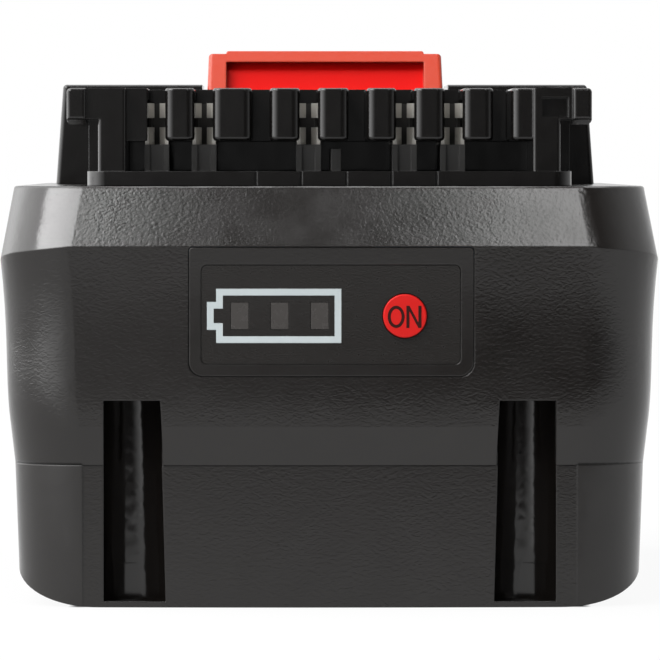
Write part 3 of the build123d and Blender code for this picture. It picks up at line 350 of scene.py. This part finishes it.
def latch_plastic():
    """Red latch plastic: an orange-red outside, its orange a painted highlight tint, and a deeper red in
    the recess of the ramp as painted shade.
    """
    finish = Finish("latch_red")
    finish.relief([(finish.noise(**SATIN_GRAIN), SATIN_DEPTH)], edge=LATCH_EDGE)
    recess = recess_shade_share(finish)
    wander = finish.math("MULTIPLY", finish.noise(**SATIN_CLOUDS), LATCH_WANDER)
    # Painted light: the recess gets a deeper red as painted shade, and the outside an orange-red as a
    # painted highlight tint.
    finish.tint(finish.math("SUBTRACT", recess, wander), LATCH_RED_AND_HIGHLIGHT, RECESS_SHADE_RED)
    finish.set("Roughness", finish.wander(SATIN_RUBBING, *LATCH_ROUGH))
    finish.set("Specular IOR Level", finish.between(recess, LATCH_SHINE, RECESS_SHINE))
    return finish.material


# The finish of each material slot, and of the nodes that have one of their own

finishes = {
    "black_plastic": casing_finish("casing_upper", upper_share, depth=0.0125 * MM, rough=(0.15, 0.20)),
    "gloss_black": gloss_plastic(),
    "label_film": satin_plastic(
        "label_film", dark=(0.0080, 0.0070, 0.0063), light=(0.0100, 0.0088, 0.0080), rough=(0.20, 0.28),
        edge=THIN_EDGE, depth=FILM_DEPTH, shine=0.36,
    ),
    "smoke_window": satin_plastic(
        "smoke_window", dark=(0.032, 0.029, 0.027), light=(0.038, 0.035, 0.033), rough=(0.22, 0.30),
        edge=THIN_EDGE, shine=0.4,
    ),
    "red_plastic": satin_plastic(
        "key_red", dark=(0.40, 0.004, 0.003), light=(0.46, 0.006, 0.004), rough=(0.40, 0.48), shine=0.22,
    ),
    "dark_plastic": satin_plastic(
        "holder_dark", dark=(0.026, 0.025, 0.024), light=(0.034, 0.033, 0.032), rough=(0.42, 0.52),
    ),
    "lamp_resin": satin_plastic(
        "lamp_resin", dark=(0.70, 0.70, 0.66), light=(0.78, 0.78, 0.74), rough=(0.20, 0.30),
    ),
    "white_plastic": satin_plastic(
        "white_plastic", dark=(0.70, 0.68, 0.64), light=(0.78, 0.76, 0.72), rough=(0.40, 0.50),
    ),
    "board": satin_plastic(
        "board_green", dark=(0.012, 0.085, 0.035), light=(0.018, 0.12, 0.05), rough=(0.30, 0.40),
    ),
    "steel": plain_metal("blackened_steel", (0.16, 0.16, 0.16), rough=(0.30, 0.42), drawn=(1, 1, 0.2)),
    "contact_metal": contact_metal(),
    "nickel": plain_metal("nickel_strip", (0.60, 0.58, 0.54), rough=(0.25, 0.38), drawn=(1, 0.15, 1)),
    "cell_sleeve": satin_plastic(
        "cell_sleeve", dark=(0.02, 0.13, 0.22), light=(0.03, 0.16, 0.26), rough=(0.20, 0.30),
    ),
    "holder_plastic": satin_plastic(
        "holder_black", dark=(0.013, 0.013, 0.013), light=(0.017, 0.017, 0.017), rough=(0.45, 0.55),
    ),
    "insulator_paper": satin_plastic(
        "insulator_paper", dark=(0.50, 0.42, 0.25), light=(0.58, 0.50, 0.31), rough=(0.75, 0.90),
    ),
    "foam": satin_plastic(
        "foam", dark=(0.025, 0.025, 0.025), light=(0.035, 0.035, 0.035), rough=(0.85, 0.95),
        depth=FOAM_DEPTH,
    ),
}
own_finish = {
    "lower_shell": casing_finish("casing_lower", lower_share, depth=0.013 * MM, rough=(0.16, 0.20)),
    "release_latch": latch_plastic(),
    "gauge_panel": casing_finish("panel_black", panel_share, depth=0.012 * MM, rough=(0.18, 0.24)),
}
slot_of = {part["node"]: part["material_slot"] for part in frame["record"]["subparts"]}
for name, thing in NODES.items():
    thing.data.materials.clear()
    thing.data.materials.append(own_finish.get(name) or finishes[slot_of[name]])


# The battery sign printed on the gauge label, its heights counted from the button's middle

FAR_IN_FRONT = -1.0
PRINT_STAND = 0.02 * MM
PRINT_DEPTH = 0.06 * MM
SIGN_LEFT = -13.0 * MM
SIGN_RIGHT = 1.3 * MM
SIGN_HALF_HEIGHT = 3.1 * MM
SIGN_STROKE = 0.77 * MM
SIGN_STEPS = 12
NUB_REACH = 1.05 * MM
NUB_HALF_HEIGHT = 1.6 * MM

key_low, key_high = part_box("gauge_button")
key_x = (key_low[X] + key_high[X]) / 2
key_z = (key_low[Z] + key_high[Z]) / 2


def new_object(name, data):
    thing = bpy.data.objects.new(name, data)
    bpy.context.scene.collection.objects.link(thing)
    return thing


def front_of(node, x, z):
    """Where a line along +Y first meets a part."""
    hit, place, _, _ = NODES[node].ray_cast(Vector((x, FAR_IN_FRONT, z)), Vector((0, 1, 0)))
    return place.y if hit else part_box(node)[LOW][Y]


def sign_outline(inset):
    """The outline of the battery sign, with its terminal at the left."""
    left, right, top = SIGN_LEFT + inset, SIGN_RIGHT - inset, SIGN_HALF_HEIGHT - inset
    nub, nub_top = SIGN_LEFT - NUB_REACH + inset, NUB_HALF_HEIGHT - inset
    upper = [(nub, nub_top), (left, nub_top), (left, top), (right, top)]
    return upper + [(x, -z) for x, z in reversed(upper)]


def divided(points, steps):
    """A closed outline with each of its sides cut into equal steps."""
    out = []
    for (x0, z0), (x1, z1) in zip(points, points[1:] + points[:1]):
        out += [(x0 + (x1 - x0) * k / steps, z0 + (z1 - z0) * k / steps) for k in range(steps)]
    return out


def battery_sign(material):
    """The printed battery sign: a thin ring of ink laid on the label's curved face."""
    outer, inner = (divided(sign_outline(inset), SIGN_STEPS) for inset in (0, SIGN_STROKE))
    vertices = []
    for depth in (-PRINT_STAND, PRINT_DEPTH):
        for x, z in outer + inner:
            vertices.append((x, front_of("gauge_label", x, key_z + z) + depth, key_z + z))
    count = len(outer)
    outer_front, inner_front, outer_back, inner_back = (ring * count for ring in range(4))
    faces = []
    for i in range(count):
        j = (i + 1) % count
        faces += [
            (outer_front + i, outer_front + j, inner_front + j, inner_front + i),
            (outer_back + i, inner_back + i, inner_back + j, outer_back + j),
            (outer_front + i, outer_back + i, outer_back + j, outer_front + j),
            (inner_front + i, inner_front + j, inner_back + j, inner_back + i),
        ]
    mesh = bpy.data.meshes.new("battery_sign")
    mesh.from_pydata(vertices, [], faces)
    mesh.materials.append(material)
    thing = new_object("battery_sign", mesh)
    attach(thing, "pack")


# The letters printed on the button, their places counted from its middle

LETTER_HALF_HEIGHT = 1.27 * MM
LETTER_DROP = 0.1 * MM
LETTER_STROKE = 0.36 * MM
O_CENTRE = -1.01 * MM
O_HALF_WIDTH = 0.97 * MM
O_STEPS = 48
N_LEFT = 0.15 * MM
N_RIGHT = 1.88 * MM
N_BEND = 0.64 * MM


def oval(half_width, half_height):
    """An oval round the letter O's middle, from short straight steps."""
    turns = [2 * pi * k / O_STEPS for k in range(O_STEPS)]
    return [(O_CENTRE + half_width * cos(turn), half_height * sin(turn) - LETTER_DROP) for turn in turns]


def letter_o():
    return [oval(O_HALF_WIDTH - inset, LETTER_HALF_HEIGHT - inset) for inset in (0, LETTER_STROKE)]


def letter_n():
    low, high = -LETTER_HALF_HEIGHT - LETTER_DROP, LETTER_HALF_HEIGHT - LETTER_DROP
    left, right = N_LEFT + LETTER_STROKE, N_RIGHT - LETTER_STROKE
    return [[
        (N_LEFT, low), (N_LEFT, high), (left, high), (right, low + N_BEND), (right, high), (N_RIGHT, high),
        (N_RIGHT, low), (right, low), (left, high - N_BEND), (left, low),
    ]]


def key_letter(name, outlines, material):
    """A letter printed on the button, from closed outlines round the button's middle."""
    curve = bpy.data.curves.new(name, "CURVE")
    curve.dimensions = "2D"
    curve.fill_mode = "BOTH"
    curve.extrude = PRINT_STAND
    for outline in outlines:
        spline = curve.splines.new("POLY")
        spline.points.add(len(outline) - 1)
        for point, (x, z) in zip(spline.points, outline):
            point.co = (x, z, 0, 1)
        spline.use_cyclic_u = True
    curve.materials.append(material)
    thing = new_object(name, curve)
    thing.rotation_euler = (pi / 2, 0, 0)
    thing.location = (key_x, key_low[Y], key_z)
    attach(thing, "button")


sign_ink = satin_plastic(
    "label_ink_grey", dark=(0.33, 0.37, 0.38), light=(0.37, 0.41, 0.42), rough=(0.50, 0.60), edge=INK_EDGE)
key_ink = satin_plastic(
    "key_ink_dark", dark=(0.022, 0.004, 0.003), light=(0.028, 0.005, 0.004), rough=(0.50, 0.60),
    edge=INK_EDGE, shine=0.1)
battery_sign(sign_ink)
key_letter("key_letter_o", letter_o(), key_ink)
key_letter("key_letter_n", letter_n(), key_ink)


# The table that the pack stands on

FLOOR_HALF_WIDTH = 2.5
FLOOR_FRONT = -0.40
FLOOR_BACK = 2.5
FLOOR_GREY = (0.45, 0.45, 0.45, 1.0)
FLOOR_WHITE_SHARE = 0.93
DARK_HALF_WIDTH = 30.0 * MM
DARK_HALF_LENGTH = 57.0 * MM
DARK_SOFT = 1.0 * MM


def beside_pack(shading):
    """0 on the floor under the pack, where no light comes, and 1 beside it."""
    steps = []
    for axis, reach in zip(shading.axes, (DARK_HALF_WIDTH, DARK_HALF_LENGTH)):
        steps.append(shading.remap(shading.math("ABSOLUTE", axis), reach - DARK_SOFT, reach))
    return shading.math("MAXIMUM", *steps)


def stage_floor():
    """The white table: white to the camera and in reflections, with the pack's soft shadow left in."""
    mesh = bpy.data.meshes.new("studio_floor")
    half, front, back = FLOOR_HALF_WIDTH, FLOOR_FRONT, FLOOR_BACK
    corners = [(-half, front, 0), (half, front, 0), (half, back, 0), (-half, back, 0)]
    mesh.from_pydata(corners, [], [(0, 1, 2, 3)])
    floor = new_object("studio_floor", mesh)
    material = bpy.data.materials.new("studio_floor")
    shading = Shading(material, empty=True)
    path = shading.add("ShaderNodeLightPath").outputs
    seen = shading.math("MAXIMUM", path["Is Camera Ray"], path["Is Glossy Ray"])
    share = shading.product(seen, FLOOR_WHITE_SHARE, beside_pack(shading))
    plain = shading.add("ShaderNodeBsdfDiffuse", {"Color": FLOOR_GREY})
    white = shading.add("ShaderNodeEmission", {"Color": WHITE, "Strength": 1.0})
    shading.add("ShaderNodeOutputMaterial", {"Surface": shading.either(share, plain, white)})
    mesh.materials.append(material)


# The room round the pack

LEFT_WALL = {"start": 10, "end": -75, "low": 0.05, "high": 4.0}
LEFT_WALL_LOSS = {"start": -120, "end": -165, "low": 0.0, "high": 3.0}
RIGHT_WALL = {"start": 25, "end": 110, "low": 0.0, "high": 0.9}


def studio_world():
    """White to the camera; round the pack a dim room in front, lit walls beside it, white behind."""
    world = bpy.data.worlds.new("studio")
    bpy.context.scene.world = world
    shading = Shading(world, space="Generated", empty=True)
    ahead = shading.math("MULTIPLY", shading.axes[Y], -1.0)
    turn = shading.math("ARCTAN2", shading.axes[X], ahead)

    def wall(start, end, low, high):
        """Light that changes between two turns, in degrees to the right of straight in front."""
        return shading.remap(turn, radians(start), radians(end), low, high, interpolation_type="SMOOTHSTEP")

    level = shading.math("SUBTRACT", wall(**LEFT_WALL), wall(**LEFT_WALL_LOSS))
    level = shading.math("ADD", level, wall(**RIGHT_WALL))
    room = shading.add("ShaderNodeBackground", {"Color": WHITE, "Strength": level})
    white = shading.add("ShaderNodeBackground", {"Color": WHITE, "Strength": 1.0})
    seen = shading.add("ShaderNodeLightPath").outputs["Is Camera Ray"]
    shading.add("ShaderNodeOutputWorld", {"Surface": shading.either(seen, room, white)})


# The lamps

LAMP_AIM = Vector((0, -0.05, 0.04))


def towards(thing, direction):
    """Turns a lamp or the camera so that it looks in a direction."""
    thing.rotation_euler = direction.to_track_quat("-Z", "Y").to_euler()


def softbox(name, turn, rise, distance, wide, high, glow):
    """A flat lamp seen from the pack at an angle, its sizes in degrees, as bright as its glow says."""
    turn, rise = radians(turn), radians(rise)
    out = Vector((sin(turn) * cos(rise), -cos(turn) * cos(rise), sin(rise)))
    light = bpy.data.lights.new(name, "AREA")
    light.shape = "RECTANGLE"
    width, height = (2 * distance * tan(radians(angle) / 2) for angle in (wide, high))
    light.size = width
    light.size_y = height
    light.energy = glow * pi * width * height
    lamp = new_object(name, light)
    lamp.location = LAMP_AIM + out * distance
    towards(lamp, -out)


stage_floor()
studio_world()
softbox("key_left", turn=-46, rise=47, distance=1.1, wide=46, high=18, glow=11.0)
softbox("key_right", turn=15, rise=47, distance=1.1, wide=9, high=18, glow=8.0)
softbox("overhead", turn=180, rise=75, distance=1.2, wide=50, high=30, glow=3.0)


# The camera, in front of the gauge end and a little above the table

CAMERA_PLACE = Vector((-0.0057, -0.7585, 0.0511))
CAMERA_AIM = Vector((0, -0.0585, 0.0318))

camera = bpy.data.cameras.new("camera")
camera.lens = 334.7
camera.sensor_width = 36.0
eye = new_object("camera", camera)
eye.location = CAMERA_PLACE
towards(eye, CAMERA_AIM - CAMERA_PLACE)
bpy.context.scene.camera = eye
bpy.context.scene.view_settings.view_transform = "Standard"
